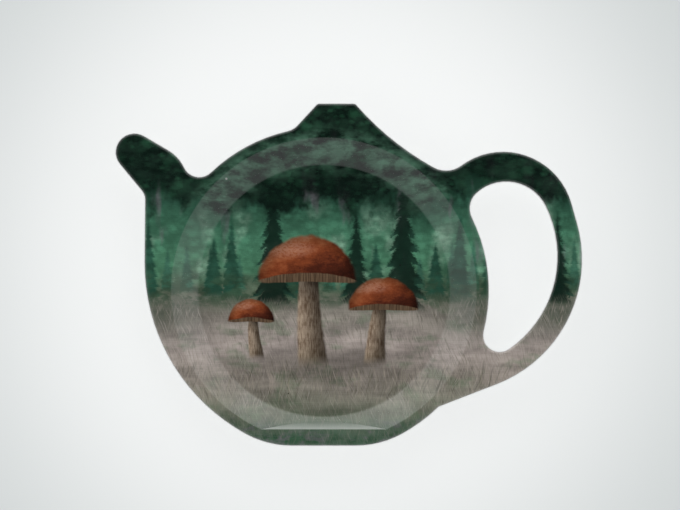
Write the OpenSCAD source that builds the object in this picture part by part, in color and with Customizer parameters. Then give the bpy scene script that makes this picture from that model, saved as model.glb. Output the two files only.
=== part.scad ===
// Tea bag rest: a shallow round dish in the outline of a teapot, moulded in white melamine
// with a printed sheet over its top and a clear glaze over the print.
// The dish lies flat. Z = 0 is the table, and the origin is under the middle of the round well.
// The spout points to -X, the handle to +X and the lid's knob to +Y. Sizes are in millimetres.

/* [Well] */
// Radius of the well's opening in the flange
well_r = 39.7; // [38:0.1:41]
// Width of the sloping wall, seen from above
wall_run = 6.4; // [4.6:0.1:8]
// Depth of the floor below the flange
well_depth = 5.8; // [4.6:0.1:8]
// How far the straight edge at the foot of the well cuts into the round opening
foot_cut = 3.5; // [2.8:0.1:4.2]
// Slope of the flat facet below that straight edge, in degrees
facet_slope = 70; // [62:1:76]
// Fillet between the floor and the sloping wall
floor_fillet = 1.2; // [0.6:0.1:3]
// Rounding of the brink between the wall and the flange
brink_r = 0.7; // [0.5:0.05:1.2]

/* [Moulding] */
// Thickness of the flange, the spout, the lid and the handle
flange_t = 2.4; // [2:0.1:3.2]
// Thickness of the floor and of the sloping wall
wall_t = 2.4; // [1.8:0.1:3]
// Rounding along the outer edge and along the finger hole
edge_r = 0.8; // [0.6:0.05:0.95]
// Fillet between the wall and the underside of the flange
web_r = 0.8; // [0.4:0.1:1.2]
// Height of the foot ring below the floor
foot_h = 1.4; // [0.8:0.1:2.4]
// How far the foot ring stands in from the edge of the flat floor
foot_in = 1.5; // [1:0.1:8]
// Width of the foot ring where it meets the floor
foot_w = 2.6; // [1.8:0.1:4]
// Rounding of the foot ring's two lower edges
foot_edge_r = 0.5; // [0.3:0.05:0.8]

/* [Print] */
// Thickness of the printed sheet
print_t = 0.2; // [0.1:0.02:0.3]
// Thickness of the clear glaze over the print
glaze_t = 0.15; // [0.1:0.01:0.25]

/* [Pot body] */
// Width of the flange between the well and the pot's round side
flange_w = 3; // [2.6:0.1:3.6]
// Width of the flange between the well's straight edge and the pot's flat base
base_w = 4.4; // [3.8:0.1:5.2]
// Rounding where the flat base runs into the round side
base_corner_r = 25; // [20:0.5:28]
// How far the flank under the spout stands out beyond the pot's round side
flank_out = 4.2; // [3.4:0.1:5]
// Height at which that straight flank starts to curve in
flank_y = 7.2; // [4:0.1:9]

/* [Spout] */
// Distance from the pot's round side out to the middle of the spout's round tip
tip_out = 18.7; // [17:0.1:20]
// Direction of the middle of the tip, in degrees
tip_angle = 144.1; // [142:0.1:146]
// Radius of the spout's tip
tip_r = 5; // [4:0.1:6]
// Distance from the pot's round side out to the middle of the spout's shoulder
lip_out = 11; // [10:0.1:12]
// Direction of the middle of the shoulder, in degrees
lip_angle = 149.3; // [148:0.1:151]
// Radius of the spout's shoulder
lip_r = 10.6; // [9.5:0.1:11.5]
// Radius of the notch between the spout and the pot
notch_r = 4.3; // [3.4:0.1:5]
// How far the inner corner under the spout lies below the middle of the shoulder
root_drop = 3.9; // [2.4:0.1:5]
// Radius of that inner corner
root_r = 3.5; // [2:0.1:5]

/* [Lid] */
// Height of the lid's knob above the pot's round side
knob_h = 6.2; // [5:0.1:8]
// Distance from the axis to the knob's left corner
knob_left = 2.4; // [1:0.1:4]
// Distance from the axis to the knob's right corner
knob_right = 8.9; // [7:0.1:10]
// Rounding of the knob's two corners
knob_corner_r = 1.2; // [1:0.05:2]
// Direction of the inner corner left of the knob, in degrees
neck_angle = 103; // [101.5:0.1:104.5]
// Radius of that inner corner
neck_r = 5; // [3.5:0.1:6.5]
// How far the lid's hollow right side dips inside the pot's round side
lid_dip = 0.3; // [0:0.05:0.6]
// Radius of the lid's hollow right side
lid_r = 75; // [68:1:85]
// Radius of the inner corner between the lid and the handle
crease_r = 6.6; // [4:0.1:8]

/* [Handle] */
// Distance from the pot's round side out to the handle's far side
handle_reach = 24.8; // [23:0.1:26]
// Height of the handle's widest place above the axis
handle_y = 8.1; // [6:0.1:9.2]
// Radius of the handle's far side
handle_r = 35.2; // [32:0.1:36]
// Direction in which the far side ends and runs on straight to the top bend, in degrees
handle_bend_angle = 15.2; // [10:0.1:24]
// Length of that straight
handle_run = 5.4; // [2:0.1:8]
// Radius of the handle's top bend
handle_top_r = 18.5; // [17.7:0.1:19.2]
// Direction of the corner where the handle's lower end meets the pot, in degrees
handle_foot_angle = -46; // [-49:0.5:-43]
// Radius of that corner
handle_foot_r = 1; // [0.8:0.1:3]

/* [Finger hole] */
// Width of the flange between the well and the finger hole
hole_wall = 3.4; // [2.8:0.1:4]
// Width of the handle at its far side
handle_w = 6.6; // [5.6:0.1:8]
// Height of the hole's widest place above the axis
hole_y = 8.9; // [7:0.1:10]
// How much smaller the radius of the hole's far side is than the handle's
hole_less = 5.5; // [4.6:0.1:6.4]
// Direction in which the far side turns into the top bend, in degrees
hole_turn = 25.4; // [22:0.1:30]
// Radius of the hole's top bend
hole_top_r = 11.4; // [10:0.1:12]
// Radius of the hole's upper corner at the pot
hole_upper_r = 5.4; // [3:0.1:7]
// Radius of the hole's lower corner at the pot
hole_lower_r = 4.2; // [3:0.1:5]

/* [Hidden] */

// Largest gap between an arc of the outline and its chords, and the widest step round a small arc
chord_gap = 0.028;
widest_step = 15;
// Two arcs closer together than this share one point
weld_gap = 0.05;
// Steps in the rounding of an edge, and in the bends of the well's section
edge_steps = 4;
bend_steps = 6;
// How far a cut runs past the face that it opens
overrun = 1;
// How far the bands of an edge lap over the flat of its layer
edge_lap = 0.15;
$fn = 96;

// The radius of the floor and of the foot ring, and the place of the well's straight edge
floor_r = well_r - wall_run;
foot_r = floor_r - foot_in;
well_foot_y = well_r - foot_cut;
// Heights above the table
under_z = foot_h;
floor_z = under_z + wall_t;
top_z = floor_z + well_depth;
flange_z = top_z - flange_t;
skin_t = print_t + glaze_t;
// Slope of the well's wall
wall_slope = atan2(well_depth, wall_run);
wall_lean = tan(wall_slope / 2);

// The pot's round side, and the larger circle of its left flank, which touches it from outside
pot_r = well_r + flange_w;
flank_x = pot_r + flank_out;
flank_r = (flank_x^2 - pot_r^2 + flank_y^2) / (2 * flank_out);
pot = [0, 0];
flank = [flank_r - flank_x, flank_y];
// The rounds of the outline
base_h = base_corner_r - well_foot_y - base_w;
base_right = [sqrt((pot_r - base_corner_r)^2 - base_h^2), base_h];
base_left = [flank.x - sqrt((flank_r - base_corner_r)^2 - (base_h - flank.y)^2), base_h];
handle_x = pot_r + handle_reach;
handle_side = [handle_x - handle_r, handle_y];
handle_top = handle_side + from_angle(handle_bend_angle, handle_r - handle_top_r)
    - outward(handle_bend_angle) * handle_run;
// The handle's lower corner lies in its own direction, or lower where the far side meets the pot
low_meeting = meeting(pot, pot_r + handle_foot_r, handle_side, handle_r + handle_foot_r, -1);
handle_foot = from_angle(min(handle_foot_angle, atan2(low_meeting.y, low_meeting.x)),
    pot_r + handle_foot_r);
post_y = pot_r + knob_h - knob_corner_r;
knob_r_post = [knob_right - knob_corner_r, post_y];
knob_l_post = [knob_corner_r - knob_left, post_y];
lid_side = meeting(pot, pot_r + lid_r - lid_dip, knob_r_post, lid_r + knob_corner_r, -1);
crease = meeting(handle_top, handle_top_r + crease_r, lid_side, lid_r - crease_r, 1);
neck = from_angle(neck_angle, pot_r + neck_r);
lip = from_angle(lip_angle, pot_r + lip_out);
notch = meeting(pot, pot_r + notch_r, lip, lip_r + notch_r, -1);
tip = from_angle(tip_angle, pot_r + tip_out);
root = [-flank_x - root_r, lip.y - root_drop];
// The rounds of the finger hole
bay_r = well_r + hole_wall;
hole_r = handle_r - hole_less;
hole_side = [handle_x - handle_w - hole_r, hole_y];
hole_top = hole_side + from_angle(hole_turn, hole_r - hole_top_r);
hole_upper = meeting(pot, bay_r + hole_upper_r, hole_top, hole_top_r - hole_upper_r, 1);
hole_lower = meeting(pot, bay_r + hole_lower_r, hole_side, hole_r - hole_lower_r, -1);

// Each round is its middle and its radius. A belt runs anticlockwise round them all, and passes
// on the other side of those with a negative radius, which makes the inner corners.
outline_rounds = [
    [base_right, base_corner_r],
    [pot, pot_r],
    [handle_foot, -handle_foot_r],
    [handle_side, handle_r],
    [handle_top, handle_top_r],
    [crease, -crease_r],
    [lid_side, -lid_r],
    [knob_r_post, knob_corner_r],
    [knob_l_post, knob_corner_r],
    [neck, -neck_r],
    [pot, pot_r],
    [notch, -notch_r],
    [lip, lip_r],
    [tip, tip_r],
    [root, -root_r],
    [flank, flank_r],
    [base_left, base_corner_r],
];
hole_rounds = [
    [pot, -bay_r],
    [hole_lower, hole_lower_r],
    [hole_side, hole_r],
    [hole_top, hole_top_r],
    [hole_upper, hole_upper_r],
];
outline = belt(outline_rounds);
finger_hole = belt(hole_rounds);

// The point at distance r in direction a
function from_angle(a, r) = r * [cos(a), sin(a)];

// The outward direction of a belt that travels in direction a
function outward(a) = [sin(a), -cos(a)];

// Where a circle of radius a round p meets a circle of radius b round q, to the left or the right
function meeting(p, a, q, b, left) =
    let (d = norm(q - p))
    let (u = (q - p) / d)
    let (along = (a^2 - b^2 + d^2) / (2 * d))
    let (aside = sqrt(max(0, a^2 - along^2)))
    p + along * u + left * aside * [-u.y, u.x];

// How far apart the middles are, and by how much the radii differ
function reach(a, b) = norm(b[0] - a[0]);
function growth(a, b) = b[1] - a[1];

// Direction in which the belt travels from round a to round b
function travel(a, b) =
    let (v = b[0] - a[0])
    atan2(v.y, v.x) - asin(max(-1, min(1, growth(a, b) / reach(a, b))));

// Length of the straight between two rounds, nothing where they touch
function straight(a, b) = sqrt(max(0, reach(a, b)^2 - growth(a, b)^2));

// An angle brought to between -180 and 180 degrees
function half_turn(a) = a - 360 * round(a / 360);

// Steps along an arc of radius r, fine enough for the chord gap
function steps_for(r, sweep) =
    let (finest = 2 * acos(max(0, 1 - chord_gap / abs(r))))
    max(1, ceil(abs(sweep) / min(widest_step, finest)));

// The belt's points, each with its outward direction
function belt(rounds) =
    let (n = len(rounds))
    [
        for (i = [0 : n - 1])
        let (before = rounds[(i + n - 1) % n], this = rounds[i], after = rounds[(i + 1) % n])
        let (start = travel(before, this), sweep = half_turn(travel(this, after) - start))
        let (steps = steps_for(this[1], sweep), first = straight(before, this) < weld_gap ? 1 : 0)
        for (j = [first : steps])
        let (out = outward(start + sweep * j / steps))
        [this[0] + this[1] * out, out]
    ];

// The line that lies the distance out beyond the belt, or inside it where out is negative
function beside(line, out) = [for (p = line) p[0] + out * p[1]];

// An arc of the section of an edge: its middle, its radius and its first and last direction
function bend(middle, r, from, to, steps) =
    [for (i = [0 : steps]) middle + from_angle(from + (to - from) * i / steps, r)];

// The section of the flange's edge, as [distance in from the edge, height], sunk below the finished top
function upper_bend(sink) =
    bend([edge_r, top_z - edge_r], edge_r - sink, 180, 90, edge_steps);
function lower_bend() =
    bend([edge_r, flange_z + edge_r], edge_r, 270, 180, edge_steps);

// A closed band along a line, with its section's widths measured inward where side is -1 and
// outward where it is 1
module band(line, section, side) {
    rows = len(line);
    across = len(section);
    points = [for (p = line) for (s = section) let (q = p[0] + side * s.x * p[1]) [q.x, q.y, s.y]];
    faces = [
        for (i = [0 : rows - 1])
        for (j = [0 : across - 1])
        let (a = i * across, b = ((i + 1) % rows) * across, k = (j + 1) % across)
        side < 0 ? [a + j, a + k, b + k, b + j] : [a + j, b + j, b + k, a + k]
    ];
    polyhedron(points, faces);
}

// A flat layer of the flange from the height low to the height high, with the same edge round its
// outline and its finger hole. The edges are bands that lap over the flat.
module layer(low, high, edge) {
    lap = edge_r + edge_lap;
    section = concat([[lap, low]], edge, [[lap, high]]);
    translate([0, 0, low])
    linear_extrude(high - low)
    difference() {
        polygon(beside(outline, -edge_r));
        polygon(beside(finger_hole, edge_r));
    }
    band(outline, section, -1);
    band(finger_hole, section, 1);
}

// Radius of the well's wall at the height z, sunk below the finished surface
function wall_at(z, sink) =
    floor_r + (z - floor_z) / tan(wall_slope) + sink / sin(wall_slope);

// The fillet at the floor, sunk below the finished surface
function floor_bend(sink) =
    bend([floor_r - floor_fillet * wall_lean, floor_z + floor_fillet],
        floor_fillet + sink, -90, wall_slope - 90, bend_steps);

// The rounded brink, sunk below the finished surface
function brink_bend(sink) =
    bend([well_r + brink_r * wall_lean, top_z - brink_r],
        brink_r - sink, wall_slope + 90, 90, bend_steps);

// What lies on the inner side of the facet at the foot of the well, sunk below it
module inside_facet(sink) {
    span = 2 * pot_r;
    translate([0, -well_foot_y, top_z])
    rotate([90 - facet_slope, 0, 0])
    translate([-span / 2, -sink, -span / 2])
    cube([span, span, span]);
}

// The well's space, sunk below the finished surface, up to the flange and on by an overrun
module well_space(sink, past = 0) {
    brink = brink_bend(sink);
    intersection() {
        rotate_extrude()
        polygon(concat(
            [[0, floor_z - sink]],
            floor_bend(sink),
            brink,
            past > 0 ? [[brink[bend_steps].x, top_z + past]] : [],
            [[0, top_z - sink + past]]));
        inside_facet(sink);
    }
}

// The bowl under the well, one wall thickness outside it
module bowl() {
    joint_z = flange_z + flange_t / 2;
    web = bend([wall_at(flange_z - web_r, wall_t + web_r), flange_z - web_r],
        web_r, wall_slope + 90, 90, bend_steps);
    intersection() {
        rotate_extrude()
        polygon(concat(
            [[0, under_z]],
            floor_bend(wall_t),
            web,
            [[web[bend_steps].x, joint_z], [0, joint_z]]));
        inside_facet(wall_t);
    }
}

// The ring that the dish stands on, sunk a little into the bowl
module foot_ring() {
    inner = foot_r - foot_w;
    rotate_extrude()
    polygon(concat(
        bend([inner + foot_edge_r, foot_edge_r], foot_edge_r, 180, 270, edge_steps),
        bend([foot_r - foot_edge_r, foot_edge_r], foot_edge_r, 270, 360, edge_steps),
        [[foot_r, under_z + wall_t / 2], [inner, under_z + wall_t / 2]]));
}

// A skin over the whole top, from the depth upper to the depth lower below the finished surface
module skin(upper, lower) {
    under = upper_bend(lower);
    edge = concat([for (i = [edge_steps : -1 : 0]) under[i]], upper_bend(upper));
    difference() {
        union() {
            layer(top_z - lower, top_z - upper, edge);
            well_space(lower);
        }
        well_space(upper, overrun);
    }
}

// The white moulding: flange, bowl and foot ring in one piece
module dish_body() {
    edge = concat(lower_bend(), [[0, top_z - edge_r]], upper_bend(skin_t));
    color([0.95, 0.94, 0.91])
    difference() {
        union() {
            layer(flange_z, top_z - skin_t, edge);
            bowl();
            foot_ring();
        }
        well_space(skin_t, overrun);
    }
}

// The printed sheet, which is cut to the outline and wraps the upper edge
module printed_foil() {
    color([0.24, 0.36, 0.28])
    skin(glaze_t, skin_t);
}

// The clear glaze that is moulded over the print
module clear_glaze() {
    color([0.85, 0.93, 0.92], 0.35)
    skin(0, glaze_t);
}

dish_body();
printed_foil();
clear_glaze();
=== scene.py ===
"""Looks of the tea bag rest: a white melamine moulding with a printed woodland scene under clear glaze."""
import math

import bmesh
import bpy
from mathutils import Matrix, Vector
from mathutils.bvhtree import BVHTree

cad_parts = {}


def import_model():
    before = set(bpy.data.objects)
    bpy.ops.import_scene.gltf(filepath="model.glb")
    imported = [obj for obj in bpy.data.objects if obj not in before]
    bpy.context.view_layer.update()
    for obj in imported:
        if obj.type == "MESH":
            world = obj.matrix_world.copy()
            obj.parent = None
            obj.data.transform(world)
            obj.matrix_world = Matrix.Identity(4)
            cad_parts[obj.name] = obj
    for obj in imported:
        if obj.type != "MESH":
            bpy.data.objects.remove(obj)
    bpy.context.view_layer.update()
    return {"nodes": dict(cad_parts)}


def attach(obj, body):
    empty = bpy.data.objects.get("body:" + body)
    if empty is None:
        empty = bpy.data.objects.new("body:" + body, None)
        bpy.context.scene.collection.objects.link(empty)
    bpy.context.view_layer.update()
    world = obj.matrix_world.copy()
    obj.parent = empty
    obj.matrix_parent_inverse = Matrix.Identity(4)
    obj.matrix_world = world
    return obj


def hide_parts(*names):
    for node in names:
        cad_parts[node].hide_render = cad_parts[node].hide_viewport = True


MM = 1000  # millimetres in a metre

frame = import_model()


# Material nodes, written as sums

class Sheet:
    """The node tree of one material, with places given in millimetres.

    The renderer holds few values at once, so a node is added after those that feed it, and noise
    takes its place straight from the object's own coordinates where it can.
    """

    def __init__(self, name):
        self.material = bpy.data.materials.new(name)
        self.material.use_nodes = True
        self.tree = self.material.node_tree
        self.tree.nodes.clear()
        self.output = self.add("ShaderNodeOutputMaterial")
        self.own = self.add("ShaderNodeTexCoord").outputs["Object"]
        places = self.add("ShaderNodeSeparateXYZ")
        self.tree.links.new(self.own, places.inputs[0])
        self.x, self.y = (Num(self, places.outputs[i]) * MM for i in range(2))

    def add(self, kind, **settings):
        """A new node of that kind, with its own settings."""
        node = self.tree.nodes.new(kind)
        for name, value in settings.items():
            setattr(node, name, value)
        return node

    def feed(self, socket, value):
        """Links a node's output to a socket, or sets the socket to a plain number or colour."""
        if isinstance(value, Num):
            self.tree.links.new(value.socket, socket)
        elif hasattr(value, "is_output"):
            self.tree.links.new(value, socket)
        elif isinstance(value, tuple):
            socket.default_value = value if len(value) == len(socket.default_value) else (*value, 1)
        else:
            socket.default_value = value

    def math(self, operation, *values):
        node = self.add("ShaderNodeMath", operation=operation)
        for socket, value in zip(node.inputs, values):
            self.feed(socket, value)
        return Num(self, node.outputs[0])

    def smooth(self, value, low, high, start=0.0, end=1.0):
        """A soft step of value from start at low to end at high; low is the smaller of the two."""
        node = self.add("ShaderNodeMapRange", interpolation_type="SMOOTHSTEP")
        for socket, v in zip(node.inputs, (value, low, high, start, end)):
            self.feed(socket, v)
        return Num(self, node.outputs[0])

    def spread(self, size, seed):
        """The object's own places in steps of the given width, height and, if it is given, depth."""
        node = self.add("ShaderNodeMapping")
        scale = [MM / v if v else 0.0 for v in (*size, 0.0)[:3]]
        node.inputs["Location"].default_value = (0.0, 0.0, seed)
        node.inputs["Scale"].default_value = scale
        self.feed(node.inputs["Vector"], self.own)
        return node.outputs[0]

    def grain(self, vector, detail, roughness):
        node = self.add("ShaderNodeTexNoise")
        self.feed(node.inputs["Vector"], vector)
        node.inputs["Scale"].default_value = 1.0
        node.inputs["Detail"].default_value = detail
        node.inputs["Roughness"].default_value = roughness
        return Num(self, node.outputs["Fac"])

    def noise(self, size, seed=0.0, detail=2.0, roughness=0.5):
        """Noise from 0 to 1 whose grain is about as large as size."""
        return self.grain(self.spread(size, seed), detail, roughness)

    def noise_at(self, x, y, seed, detail=2.0, roughness=0.5):
        """The same noise at places that are worked out."""
        node = self.add("ShaderNodeCombineXYZ")
        for socket, value in zip(node.inputs, (x, y, seed)):
            self.feed(socket, value)
        return self.grain(node.outputs[0], detail, roughness)

    def cells(self, size, seed):
        """Distance to the middle of the nearest cell, and a random number for each cell."""
        at = self.spread(size, seed)
        node = self.add("ShaderNodeTexVoronoi", voronoi_dimensions="3D")
        self.feed(node.inputs["Vector"], at)
        node.inputs["Scale"].default_value = 1.0
        rgb = self.add("ShaderNodeSeparateColor")
        self.feed(rgb.inputs[0], node.outputs["Color"])
        return Num(self, node.outputs["Distance"]), Num(self, rgb.outputs[0])

    def random(self, value, seed):
        """A random number from 0 to 1 for each value."""
        at = value + seed
        node = self.add("ShaderNodeTexWhiteNoise", noise_dimensions="1D")
        self.feed(node.inputs["W"], at)
        return Num(self, node.outputs["Value"])

    def mix(self, factor, a, b, **settings):
        """Colour a where the factor is 0, and colour b where it is 1."""
        node = self.add("ShaderNodeMix", data_type="RGBA", **settings)
        factor_and_colours = (node.inputs[i] for i in (0, 6, 7))
        for socket, value in zip(factor_and_colours, (factor, a, b)):
            self.feed(socket, value)
        return node.outputs[2]

    def ramp(self, value, stops):
        """A colour that runs through the stops, each a place from 0 to 1 and a colour."""
        node = self.add("ShaderNodeValToRGB")
        band = node.color_ramp
        while len(band.elements) < len(stops):
            band.elements.new(0.5)
        for element, (at, colour) in zip(band.elements, stops):
            element.position = at
            element.color = (*colour, 1)
        self.feed(node.inputs[0], value)
        return node.outputs[0]

    def shade(self, colour, amount):
        """A colour made lighter or darker by a factor."""
        return self.mix(amount, (0.0, 0.0, 0.0), colour, clamp_factor=False)

    def bump(self, height, strength, depth):
        """A normal for a surface that rises by up to the given depth, in metres."""
        node = self.add("ShaderNodeBump")
        node.inputs["Strength"].default_value = strength
        node.inputs["Distance"].default_value = depth
        self.feed(node.inputs["Height"], height)
        return node.outputs[0]

    def principled(self, **values):
        """The usual surface shader, with its inputs by name."""
        node = self.add("ShaderNodeBsdfPrincipled")
        for name, value in values.items():
            self.feed(node.inputs[name.replace("_", " ")], value)
        return node.outputs[0]

    def clear(self):
        return self.add("ShaderNodeBsdfTransparent").outputs[0]

    def blend(self, factor, a, b):
        """Shader a where the factor is 0, and shader b where it is 1."""
        node = self.add("ShaderNodeMixShader")
        for socket, value in zip(node.inputs, (factor, a, b)):
            self.feed(socket, value)
        return node.outputs[0]

    def finish(self, shader):
        self.feed(self.output.inputs[0], shader)
        return self.material


class Num:
    """A number that a node gives, so that sums can be written as sums."""

    def __init__(self, sheet, socket):
        self.sheet = sheet
        self.socket = socket

    def __add__(self, other):
        return self.sheet.math("ADD", self, other)

    def __sub__(self, other):
        return self.sheet.math("SUBTRACT", self, other)

    def __rsub__(self, other):
        return self.sheet.math("SUBTRACT", other, self)

    def __mul__(self, other):
        return self.sheet.math("MULTIPLY", self, other)

    def __truediv__(self, other):
        return self.sheet.math("DIVIDE", self, other)

    def __abs__(self):
        return self.sheet.math("ABSOLUTE", self)

    def floor(self):
        return self.sheet.math("FLOOR", self)

    def fract(self):
        return self.sheet.math("FRACT", self)

    def sin(self):
        return self.sheet.math("SINE", self)

    def root(self):
        return self.sheet.math("SQRT", self)

    def above(self, other):
        return self.sheet.math("GREATER_THAN", self, other)


def distance(x, y):
    """How far a place lies from the zero of both."""
    return (x * x + y * y).root()


def linked(name, data):
    """A new object in the scene."""
    obj = bpy.data.objects.new(name, data)
    bpy.context.scene.collection.objects.link(obj)
    return obj


# The printed scene, in millimetres from the middle of the well

LAID_ON = 0.94  # how much a dark shape hides of what it is drawn over

MISTY_ROWS = (  # width of a strip, height, foot, seed, colour, softness and share of strips with a tree
    (4.6, 15.0, 0.5, 11.2, (0.045, 0.135, 0.088), 0.10, 0.8),
    (7.4, 23.0, -1.0, 4.6, (0.022, 0.078, 0.050), 0.07, 0.6),
)

NEAR_SPRUCES = (  # place across, foot, height, half width and seed
    (-13.5, -3.5, 34.0, 6.5, 1.3),
    (21.0, -4.5, 36.0, 7.0, 3.8),
    (8.5, -3.0, 25.0, 4.8, 6.1),
    (61.0, -3.5, 24.0, 4.6, 8.4),
)

TOADSTOOLS = (  # a stem's foot, top and width, and its cap's middle, half width, height and seed
    ((-17.5, -18.5), (-18.8, -7.0), 1.7, (-19.2, -7.2), 6.2, 5.0, 2.2),
    ((13.4, -20.0), (15.0, -3.4), 2.5, (15.6, -3.6), 9.4, 7.0, 5.7),
    ((-2.6, -21.0), (-4.0, 4.2), 3.5, (-4.4, 4.6), 13.2, 10.2, 8.1),
)

MEADOW_GRASS = (  # lean, width, length, seed, colour and strength
    (0.30, 0.42, 5.0, 6.2, (0.085, 0.082, 0.058), 0.62),
    (-0.22, 0.36, 4.0, 7.7, (0.450, 0.395, 0.345), 0.45),
    (0.12, 0.30, 3.0, 9.3, (0.155, 0.150, 0.110), 0.45),
    (0.42, 0.34, 4.5, 2.9, (0.510, 0.455, 0.410), 0.42),
)

FRONT_GRASS = (  # the same again
    (-0.34, 0.60, 16.0, 3.7, (0.045, 0.048, 0.030), 0.62),
    (0.24, 0.50, 14.0, 6.9, (0.400, 0.345, 0.290), 0.60),
    (-0.10, 0.42, 18.0, 1.1, (0.285, 0.265, 0.190), 0.60),
)

SPECKS = (  # place, radius and tone
    (-25.6, 29.0, 0.34, 0.36),
    (20.1, 6.6, 0.24, 0.01),
    (-9.4, -27.2, 0.2, 0.02),
)


def backdrop(s):
    """Dark wood at the top, a misty teal glade, and a straw and mauve meadow down to a green rim."""
    foot, tall = -42, 92
    wander = (s.noise((13, 8), 3.1, 3.0, 0.55) - 0.5) * 9
    return s.ramp((s.y + wander - foot) / tall, [
        (0.00, (0.020, 0.080, 0.036)),
        (0.05, (0.066, 0.112, 0.076)),
        (0.10, (0.118, 0.140, 0.098)),
        (0.20, (0.218, 0.194, 0.166)),
        (0.30, (0.325, 0.280, 0.256)),
        (0.40, (0.210, 0.195, 0.165)),
        (0.45, (0.105, 0.135, 0.092)),
        (0.51, (0.072, 0.205, 0.118)),
        (0.60, (0.066, 0.200, 0.120)),
        (0.70, (0.026, 0.085, 0.054)),
        (0.80, (0.006, 0.026, 0.015)),
        (1.00, (0.001, 0.008, 0.004)),
    ])


def glade(s, below):
    """Pale light that comes through between the trees."""
    gap = s.smooth(s.noise((6.5, 11), 12.4, 2.0), 0.46, 0.68)
    height = s.smooth(s.y, 0.0, 6.0) * s.smooth(s.y, 12.0, 27.0, 1.0, 0.0)
    ragged = s.smooth(s.noise((1.8, 1.5), 3.3, 3.0, 0.6), 0.30, 0.62, 0.35, 1.0)
    c = s.mix(gap * height * ragged * 0.7, below, (0.290, 0.480, 0.350))
    dusk = s.smooth(s.noise((4.5, 18), 31.7, 2.0), 0.54, 0.70) * s.smooth(s.y, 0.0, 8.0)
    return s.mix(dusk * 0.55, c, (0.165, 0.138, 0.168))


def misty_row(s, below, width, tall, foot, seed, colour, soft, dense):
    """A far row of spruces, one to each strip of the given width."""
    across = s.x / width + seed
    strip = across.floor()
    lean = s.random(strip, seed + 0.3) * 0.5 + 0.25
    up = (s.y - foot) / (s.random(strip, seed + 0.7) * tall * 0.45 + tall * 0.55)
    tiers = (up * 8 + lean).fract()
    ragged = (s.noise((1.1, 0.8), seed, 3.0, 0.6) - 0.5) * 0.16
    half = (1 - up) * (0.44 - tiers * 0.15) + ragged
    body = s.smooth(half - abs(across.fract() - lean), -soft, soft)
    there = s.random(strip, seed + 1.7).above(1 - dense)
    ends = s.smooth(up, -0.15, 0.05) * s.smooth(up, 0.86, 1.0, 1.0, 0.0)
    return s.mix(body * ends * there, below, colour)


def spruce(s, below, x, foot, tall, wide, seed):
    """One near spruce, dark, with drooping boughs that end in paler needles."""
    up = (s.y - foot) / tall
    sway = (s.noise((3.5, 2.6), seed, 2.0) - 0.5) * 1.1
    tiers = (up * 9 + sway + abs(s.x - x) * 0.10).fract()
    needles = (s.noise((0.7, 0.5), seed, 3.0, 0.7) - 0.5) * wide * 0.42
    half = (1 - up) * wide * (1.0 - tiers * 0.5) + needles
    off = abs(s.x - x)
    ends = s.smooth(up, -0.05, 0.04) * s.smooth(up, 0.9, 1.05, 1.0, 0.0)
    body = s.smooth(half - off, -0.65, 0.65) * ends
    tips = s.smooth(tiers, 0.0, 0.4, 1.0, 0.0) * s.smooth(off / (half + 0.5), 0.2, 1.0)
    bark = s.mix(tips, (0.004, 0.015, 0.010), (0.024, 0.078, 0.052))
    return s.mix(body * LAID_ON, below, bark)


def leaves(s, size, seed):
    """Leaves out of focus, from 0 in the gaps to 1 on the palest leaf."""
    far, pick = s.cells((size, size * 0.7), seed)
    torn = (s.noise((size * 0.42, size * 0.3), seed, 3.0, 0.6) - 0.5) * 0.85
    return s.smooth(far + torn, 0.0, 0.75, 1.0, 0.0) * (pick * 0.75 + 0.25)


def canopy(s, below):
    """Dark foliage that hangs in from the top, ragged below, with lit leaves over the well's wall."""
    edge = s.noise((11, 16), 8.8, 4.0, 0.65) * 36 - 18
    mass = s.smooth(s.y + edge, 18.5, 24.5)
    leaf = s.math("MAXIMUM", leaves(s, 4.2, 1.7), leaves(s, 2.0, 5.2) * 0.75)
    clump = s.smooth(s.noise((15, 7), 4.1, 3.0), 0.36, 0.66)
    dark = s.mix(leaf * (clump * 0.8 + 0.2), (0.002, 0.007, 0.005), (0.020, 0.078, 0.041))
    radius_squared = s.x * s.x + s.y * s.y
    ring = s.smooth(radius_squared, 800.0, 1400.0) * s.smooth(radius_squared, 1500.0, 1900.0, 1.0, 0.1)
    lit = s.smooth(s.noise((6.5, 3.2), 17.1, 4.0, 0.6), 0.38, 0.64) * (leaf * 0.4 + 0.6) * ring
    return s.mix(mass * LAID_ON, below, s.mix(lit * 0.9, dark, (0.110, 0.250, 0.165)))


def undergrowth(s, below):
    """The soft light and dark of leaves in the glade, and shrubs where it meets the grass."""
    leaf = leaves(s, 3.0, 2.4) * 0.7 + s.noise((1.2, 1.0), 7.4, 3.0, 0.6) * 0.5
    coarse = s.noise((7.0, 4.0), 2.4, 3.0, 0.6)
    both = s.smooth(leaf * 0.45 + coarse * 0.7, 0.25, 0.85, 0.62, 1.42)
    shrubs = s.smooth(s.noise((3.6, 2.2), 9.7, 4.0, 0.6), 0.42, 0.58)
    low = s.smooth(s.y, -6.5, -2.0) * s.smooth(s.y, 1.0, 7.0, 1.0, 0.0)
    c = s.mix(shrubs * low * 0.75, below, (0.038, 0.078, 0.045))
    return s.shade(c, (both - 1) * s.smooth(s.y, -7.0, 3.0) + 1)


def mossy_rim(s, below):
    """Blotches of moss, dark leaves and mauve heather along the foot of the scene."""
    low = s.smooth(s.y - abs(s.x) * 0.16, -41.0, -34.0, 1.0, 0.0)
    dark = s.smooth(s.noise((2.6, 2.0), 5.5, 4.0, 0.65), 0.44, 0.60)
    heather = s.smooth(s.noise((3.4, 2.2), 14.3, 3.0, 0.6), 0.52, 0.66)
    c = s.mix(dark * low * 0.75, below, (0.022, 0.062, 0.034))
    return s.mix(heather * low * 0.65, c, (0.125, 0.120, 0.132))


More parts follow.
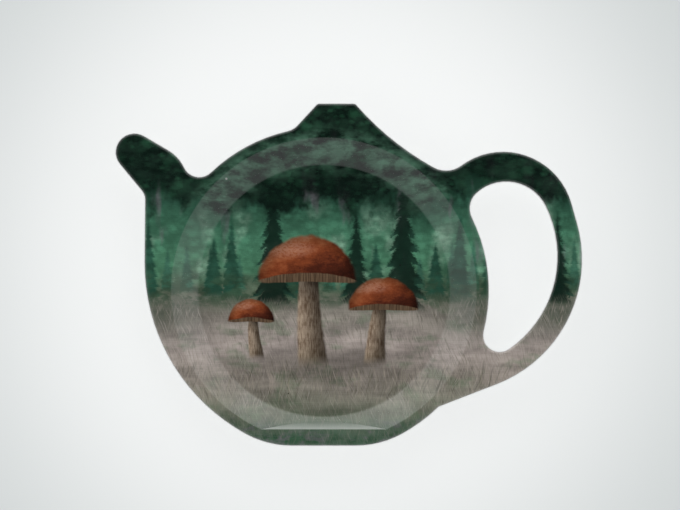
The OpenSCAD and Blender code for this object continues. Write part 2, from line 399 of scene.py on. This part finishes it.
def grass(s, below, lean, wide, long, seed, colour, strength):
    """One layer of blades that lean one way."""
    across = s.x + s.y * lean + (s.noise((7, 9), 2.2) - 0.5) * 3.0
    blade = s.noise_at(across / wide, s.y / long, seed, 3.0, 0.6)
    tufts = s.smooth(s.noise((4, 3), seed + 3, 2.0), 0.3, 0.65, 0.3, 1.0)
    return s.mix(s.smooth(blade, 0.50, 0.72) * tufts * strength, below, colour)


def meadow(s, below):
    """Dry grass in uneven drifts, greener at the sides, with pale and dark blades that cross."""
    drift = s.noise((10, 3.0), 4.4, 4.0, 0.6)
    moss = s.smooth(s.noise((9, 4.5), 21.3, 3.0, 0.6), 0.50, 0.66)
    c = s.mix(moss * 0.5, below, (0.100, 0.150, 0.088))
    c = s.shade(c, s.smooth(drift, 0.25, 0.75, 0.80, 1.62))
    sides = s.smooth(abs(s.x) + drift * 14, 30.0, 50.0) * s.smooth(s.y + drift * 5, -16.0, -2.0)
    c = s.mix(sides * 0.75, c, (0.040, 0.066, 0.044))
    for layer in MEADOW_GRASS:
        c = grass(s, c, *layer)
    field = s.smooth(s.y + drift * 7, -3.5, 3.0, 1.0, 0.0) * s.smooth(s.y, -39.0, -27.0, 0.35, 1.0)
    return s.mix(field, below, c)


def stem(s, below, foot, top, wide):
    """A pale stem that narrows upward, lit from the upper left and stained where it stands."""
    (x0, y0), (x1, y1) = foot, top
    up = (s.y - y0) / (y1 - y0)
    bow = (up - up * up) * wide * 0.6
    half = (1.25 - up * 0.5) * wide + (s.noise((1.5, 2.0), x0, 2.0) - 0.5) * 0.5
    off = (s.x - (up * (x1 - x0) + x0) + bow) / half
    inside = s.smooth(abs(off), 0.80, 1.05, 1.0, 0.0)
    span = s.smooth(up, -0.02, 0.16) * s.smooth(up, 1.0, 1.06, 1.0, 0.0)
    fibres = s.noise((0.30, 2.6), 9.1, 4.0, 0.65)
    patch = s.noise((2.2, 3.0), 4.7, 3.0, 0.6)
    light = s.smooth(off, -1.1, 1.0, 1.15, 0.22) * s.smooth(up, 0.60, 1.0, 1.0, 0.30)
    streaks = s.smooth(fibres * 0.6 + patch * 0.4, 0.35, 0.65)
    bark = s.mix(streaks, (0.150, 0.098, 0.062), (0.460, 0.365, 0.270))
    bark = s.mix(s.smooth(up, 0.0, 0.35, 0.6, 0.0), bark, (0.110, 0.088, 0.055))
    return s.mix(inside * span, below, s.shade(bark, light))


def cap(s, below, middle, wide, tall, seed):
    """A russet cap, uneven and soft at its edge, with a dull sheen and a shaded, ribbed underside."""
    x = (s.x - middle[0]) / wide
    y = s.y - middle[1]
    uneven = s.noise((3.6, 3.6), seed, 2.0) - 0.5
    bend = y + x * x * (tall * 0.20) + uneven * 0.7
    is_top = s.smooth(bend, -0.18, 0.18)
    rise = bend * (is_top / tall + (1 - is_top) / (tall * 0.24))
    out = distance(x, rise) + uneven * 0.09
    inside = s.smooth(out, 0.93, 1.03, 1.0, 0.0)
    grain = s.noise((0.7, 0.5), seed, 5.0, 0.7)
    blotch = s.noise((3.4, 2.2), seed + 2, 3.0, 0.6)
    toward = rise * 0.85 - x * 0.42 + (grain - 0.5) * 0.55 + (blotch - 0.5) * 0.9
    dome = s.ramp(s.smooth(toward, -0.65, 1.25), [
        (0.00, (0.016, 0.005, 0.003)),
        (0.30, (0.085, 0.019, 0.009)),
        (0.58, (0.235, 0.055, 0.019)),
        (0.82, (0.370, 0.115, 0.045)),
        (1.00, (0.520, 0.250, 0.140)),
    ])
    dome = s.shade(dome, s.smooth(out, 0.62, 1.0, 1.0, 0.45))
    spot = distance((x + 0.30) * 1.265, (rise - 0.62) * 2.646)
    sheen = s.smooth(spot, 0.1, 0.75, 0.26, 0.0)
    dome = s.mix(sheen * s.smooth(grain, 0.3, 0.6), dome, (0.640, 0.420, 0.320))
    ribs = s.noise((0.32, 6.0), seed, 2.0)
    gills = s.mix(s.smooth(ribs, 0.25, 0.75), (0.062, 0.038, 0.023), (0.160, 0.104, 0.062))
    return s.mix(inside, below, s.mix(is_top, gills, dome))


def toadstools(s, below):
    """A group of three toadstools in the middle of the scene, and the dusk on the ground below them."""
    off = distance((s.x - 2) / 27, (s.y + 20) / 6)
    c = s.shade(below, s.smooth(off, 0.1, 1.1, 0.52, 1.0))
    for foot, top, thick, middle, wide, tall, seed in TOADSTOOLS:
        c = stem(s, c, foot, top, thick)
        c = cap(s, c, middle, wide, tall, seed)
    return c


def blades(s, below):
    """Blades of grass that stand in front of the stems' feet."""
    tips = s.noise((1.2, 0), 2.9, 3.0, 0.7) * 15 - 5
    low = s.smooth(s.y + 20 - tips, -5.0, 1.0, 1.0, 0.0) * s.smooth(s.y, -35.0, -24.0)
    c = below
    for *blade, strength in FRONT_GRASS:
        c = grass(s, c, *blade, low * strength)
    return c


def specks(s, below):
    """A tiny pale fleck and two dark ones, which the press left in the print."""
    c = below
    for x, y, radius, tone in SPECKS:
        off = distance(s.x - x, s.y - y)
        c = s.mix(s.smooth(off, radius * 0.5, radius, 1.0, 0.0), c, (tone, tone, tone))
    return c


def painted_facet_highlight(s, below):
    """A painted highlight: the print is made paler on the steep facet at the foot of the well, which faces
    the light.
    """
    normal = s.add("ShaderNodeSeparateXYZ")
    s.feed(normal.inputs[0], s.add("ShaderNodeNewGeometry").outputs["True Normal"])
    steep = s.smooth(Num(s, normal.outputs[2]), 0.40, 0.60, 1.0, 0.0)
    foot = s.smooth(s.y, -36.3, -34.4, 0.72, 0.22) * s.smooth(s.y, -36.5, -36.2)
    return s.mix(steep * foot, below, (0.560, 0.600, 0.560))


def screen(s, below):
    """The fine lines of the printing screen."""
    lines = (s.y * 11.0).sin() * 0.022 + (s.x * 11.0 + s.y * 3.0).sin() * 0.014
    return s.shade(below, lines + 1)


def printed_scene():
    """The print with all its parts, from the back of the scene to the front."""
    s = Sheet("printed_paper_scene")
    c = glade(s, backdrop(s))
    for row in MISTY_ROWS:
        c = misty_row(s, c, *row)
    c = undergrowth(s, c)
    for tree in NEAR_SPRUCES:
        c = spruce(s, c, *tree)
    c = meadow(s, mossy_rim(s, canopy(s, c)))
    c = blades(s, toadstools(s, c))
    # the print gets its specks, then a painted highlight on the steep facet at the foot of the well, then
    # the screen lines
    c = screen(s, painted_facet_highlight(s, specks(s, c)))
    rough = s.smooth(s.noise((9, 9), 0.5, 3.0), 0.3, 0.7, 0.08, 0.13)
    wave = s.bump(s.noise((2.6, 2.6, 2.6), 0.2, 2.0), 0.35, 0.00004)
    return s.finish(s.principled(Base_Color=c, Roughness=rough, IOR=1.45, Normal=wave))


# The other materials

def white_melamine():
    """White moulded melamine, a little uneven in tone and gloss, with a few grey specks in it."""
    s = Sheet("white_melamine_moulded")
    cloud = s.noise((14, 14, 14), 0.0, 3.0)
    c = s.mix(cloud, (0.845, 0.838, 0.835), (0.880, 0.875, 0.878))
    far, pick = s.cells((2.4, 2.4, 2.4), 0.0)
    dots = s.smooth(far, 0.03, 0.06, 1.0, 0.0) * pick.above(0.93)
    c = s.mix(dots * 0.5, c, (0.42, 0.41, 0.40))
    grain = s.noise((0.9, 0.9, 0.9), 0.0, 4.0)
    rough = s.smooth(cloud, 0.2, 0.8, 0.26, 0.33)
    fine = s.bump(grain, 0.25, 0.00005)
    return s.finish(s.principled(Base_Color=c, Roughness=rough, IOR=1.55, Normal=fine))


def clear_melamine():
    """The clear top layer, with a sharp gloss that grows where it is seen at a slant."""
    s = Sheet("clear_melamine_gloss")
    ripple = s.bump(s.noise((5, 5, 5), 0.0, 2.0), 0.3, 0.00006)
    streak = s.noise((16, 16, 16), 2.0, 3.0)
    rough = s.smooth(streak, 0.3, 0.7, 0.04, 0.1)
    gloss = s.principled(Base_Color=(0.020, 0.025, 0.024), Roughness=rough, IOR=1.56, Normal=ripple)
    slant = Num(s, s.add("ShaderNodeLayerWeight").outputs["Facing"])
    share = s.math("POWER", slant, 5.0) * 0.9 + 0.004
    return s.finish(s.blend(share, s.clear(), gloss))


# The pieces

def dress(node, material):
    """Keeps a part's own mesh and gives it a material."""
    slots = frame["nodes"][node].data.materials
    slots.clear()
    slots.append(material)


def glaze_skin():
    """The glaze's outer face as one open sheet: where it lies on the other layers it is left off."""
    same_point, touching = 1e-7, 1e-5  # metres
    mesh = bmesh.new()
    mesh.from_mesh(frame["nodes"]["clear_glaze"].data)
    bmesh.ops.remove_doubles(mesh, verts=mesh.verts, dist=same_point)
    for node in ("printed_foil", "dish_body"):
        other = bmesh.new()
        other.from_mesh(frame["nodes"][node].data)
        tree = BVHTree.FromBMesh(other)
        hidden = [f for f in mesh.faces if tree.find_nearest(f.calc_center_median())[3] < touching]
        bmesh.ops.delete(mesh, geom=hidden, context="FACES")
        other.free()
    data = bpy.data.meshes.new("glaze_skin")
    mesh.to_mesh(data)
    mesh.free()
    data.materials.append(clear_melamine())
    piece = linked("glaze_skin", data)
    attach(piece, "root")
    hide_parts("clear_glaze")


# The studio

def camera():
    """Nearly straight down, from a little towards the pot's base."""
    far, elevation = 0.400, math.radians(86.25)
    aim = Vector((0.0042, 0.0089, 0.0096))
    data = bpy.data.cameras.new("camera")
    data.sensor_width = 36.0
    data.lens = 81.25
    data.clip_start = 0.01
    obj = linked("camera", data)
    obj.location = aim + far * Vector((0, -math.cos(elevation), math.sin(elevation)))
    obj.rotation_euler = (aim - obj.location).to_track_quat("-Z", "Y").to_euler()
    bpy.context.scene.camera = obj


def floor_paper():
    """Pale paper with a painted pool of light, whitest round the dish and greyer further out, that glows
    where it is seen, so that shadows stay soft.

    From below it is clear, so that the dish's underside can be looked at.
    """
    s = Sheet("floor_paper")
    off = distance(s.x, s.y - 10)
    # painted pool of light: the paper's tone falls from white round the dish to grey further out
    paper_and_painted_light_pool = s.mix(s.smooth(off, 45.0, 130.0), (0.955, 0.972, 0.966), (0.642, 0.676, 0.674))
    rays = s.add("ShaderNodeLightPath").outputs
    seen = s.math("MAXIMUM", rays["Is Camera Ray"], rays["Is Glossy Ray"])
    seen = s.math("MAXIMUM", seen, rays["Is Transmission Ray"])
    glow = s.add("ShaderNodeEmission")
    s.feed(glow.inputs["Color"], paper_and_painted_light_pool)
    paper = s.blend(seen * 0.7, s.principled(Base_Color=paper_and_painted_light_pool, Roughness=0.9), glow.outputs[0])
    from_below = s.add("ShaderNodeNewGeometry").outputs["Backfacing"]
    return s.finish(s.blend(from_below, paper, s.clear()))


def floor():
    """A wide disc just under the foot ring.

    It is open inside the ring, where the dish hides it, so that the underside isn't dark from below.
    """
    inner, outer, z, sides = 0.0317, 4.0, -0.00005, 96
    turns = [2 * math.pi * i / sides for i in range(sides)]
    points = [(r * math.cos(turn), r * math.sin(turn), z) for r in (inner, outer) for turn in turns]
    faces = [(i, i + sides, (i + 1) % sides + sides, (i + 1) % sides) for i in range(sides)]
    data = bpy.data.meshes.new("floor")
    data.from_pydata(points, [], faces)
    data.materials.append(floor_paper())
    obj = linked("floor", data)


def world():
    """A pale room, bright all round, dim overhead, where the camera stands, and softer from below."""
    tones = (  # from straight down at 0 over the horizon at 0.5 to straight up at 1
        (0.0, 0.72),
        (0.44, 0.78),
        (0.5, 1.08),
        (0.75, 1.04),
        (0.91, 0.9),
        (0.97, 0.06),
        (1.0, 0.04),
    )
    room = bpy.data.worlds.new("room")
    room.use_nodes = True
    tree = room.node_tree
    tree.nodes.clear()
    chain = [tree.nodes.new(kind) for kind in (
        "ShaderNodeTexCoord",
        "ShaderNodeSeparateXYZ",
        "ShaderNodeMath",
        "ShaderNodeValToRGB",
        "ShaderNodeBackground",
        "ShaderNodeOutputWorld",
    )]
    _, _, height, ramp, _, _ = chain
    height.operation = "MULTIPLY_ADD"
    height.inputs[1].default_value = 0.5
    height.inputs[2].default_value = 0.5
    band = ramp.color_ramp.elements
    while len(band) < len(tones):
        band.new(0.5)
    for element, (at, tone) in zip(band, tones):
        element.position = at
        element.color = (tone, tone, tone * 1.01, 1)
    for node, after, gives in zip(chain, chain[1:], ("Generated", "Z", "Value", "Color", "Background")):
        tree.links.new(node.outputs[gives], after.inputs[0])
    bpy.context.scene.world = room


def soft_box():
    """One large soft lamp beyond the knob."""
    at, aim = Vector((0, 2.19, 0.97)), Vector((0, 0, 0.1))
    data = bpy.data.lights.new("soft_box", "AREA")
    data.shape = "RECTANGLE"
    data.size, data.size_y = 3.45, 1.84
    data.energy = 24.0
    obj = linked("soft_box", data)
    obj.location = at
    obj.rotation_euler = (aim - at).to_track_quat("-Z", "Z").to_euler()
    obj.visible_camera = False


dress("dish_body", white_melamine())
dress("printed_foil", printed_scene())
glaze_skin()
camera()
floor()
world()
soft_box()
bpy.context.scene.view_settings.view_transform = "Standard"
